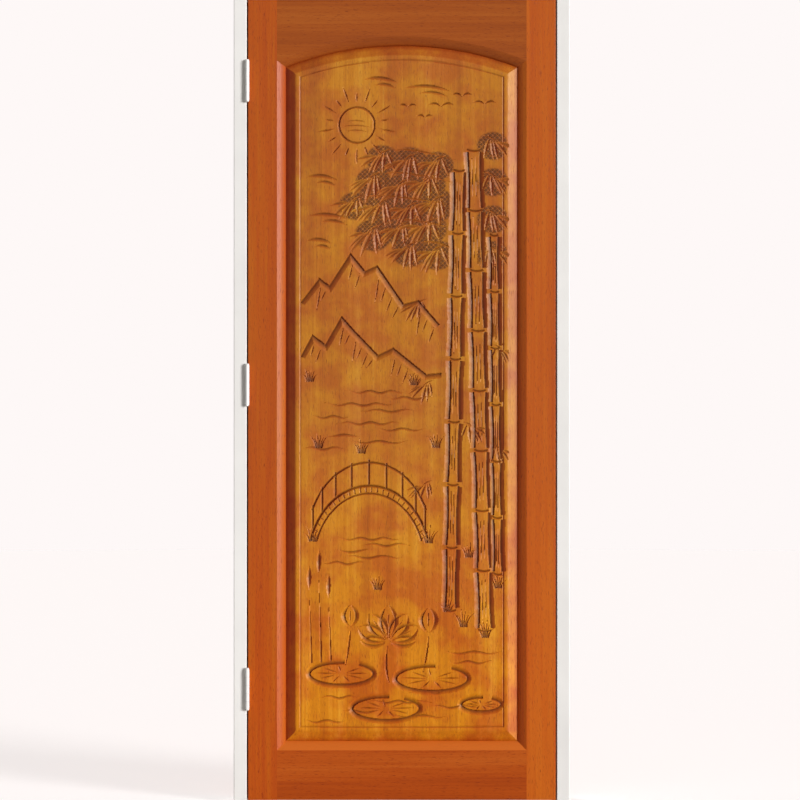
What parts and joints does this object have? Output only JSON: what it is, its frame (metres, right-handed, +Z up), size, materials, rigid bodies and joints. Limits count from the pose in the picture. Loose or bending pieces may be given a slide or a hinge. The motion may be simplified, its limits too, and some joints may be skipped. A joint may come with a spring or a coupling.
{
  "type": "wooden door",
  "caption": "Hardwood door leaf with an arched carved raised panel, hung on butt hinges in a slim white frame.",
  "frame": {"origin": "on the floor, midway across the frame and midway through its depth, hinge knuckles included", "axes": "+Z up along the uprights, +Y away from somebody who faces the carved side, +X to their right"},
  "size_m": [0.832, 0.1264, 2.022],
  "materials": {
    "leaf_wood": "red-brown stain under gloss varnish",
    "panel_wood": "golden brown stain under gloss varnish",
    "frame_paint": "white satin paint",
    "hinge_enamel": "white enamel on steel",
    "screw_steel": "zinc plated"
  },
  "bodies": {
    "frame": {"hinge_jamb": "frame_paint", "lock_jamb": "frame_paint", "frame_head": "frame_paint", "hinge_stop": "frame_paint", "lock_stop": "frame_paint", "head_stop": "frame_paint", "head_screws": "screw_steel", "top_hinge_frame_plate": "hinge_enamel", "top_hinge_frame_screws": "screw_steel", "middle_hinge_frame_plate": "hinge_enamel", "middle_hinge_frame_screws": "screw_steel", "bottom_hinge_frame_plate": "hinge_enamel", "bottom_hinge_frame_screws": "screw_steel", "top_hinge_pin": "hinge_enamel", "middle_hinge_pin": "hinge_enamel", "bottom_hinge_pin": "hinge_enamel"},
    "leaf": {"hinge_stile": "leaf_wood", "lock_stile": "leaf_wood", "top_rail": "leaf_wood", "bottom_rail": "leaf_wood", "carved_panel": "panel_wood", "top_rail_wedge_1": "leaf_wood", "top_rail_wedge_2": "leaf_wood", "top_rail_wedge_3": "leaf_wood", "top_rail_wedge_4": "leaf_wood", "bottom_rail_wedge_1": "leaf_wood", "bottom_rail_wedge_2": "leaf_wood", "bottom_rail_wedge_3": "leaf_wood", "bottom_rail_wedge_4": "leaf_wood", "top_hinge_leaf_plate": "hinge_enamel", "top_hinge_leaf_screws": "screw_steel", "middle_hinge_leaf_plate": "hinge_enamel", "middle_hinge_leaf_screws": "screw_steel", "bottom_hinge_leaf_plate": "hinge_enamel", "bottom_hinge_leaf_screws": "screw_steel"}
  },
  "joints": [
    {"name": "leaf_swing", "type": "hinge", "parent": "frame", "child": "leaf", "pos_m": [-0.3825, -0.05775, 1.034], "axis": [0, 0, -1], "range_deg": [0, 175]}
  ]
}
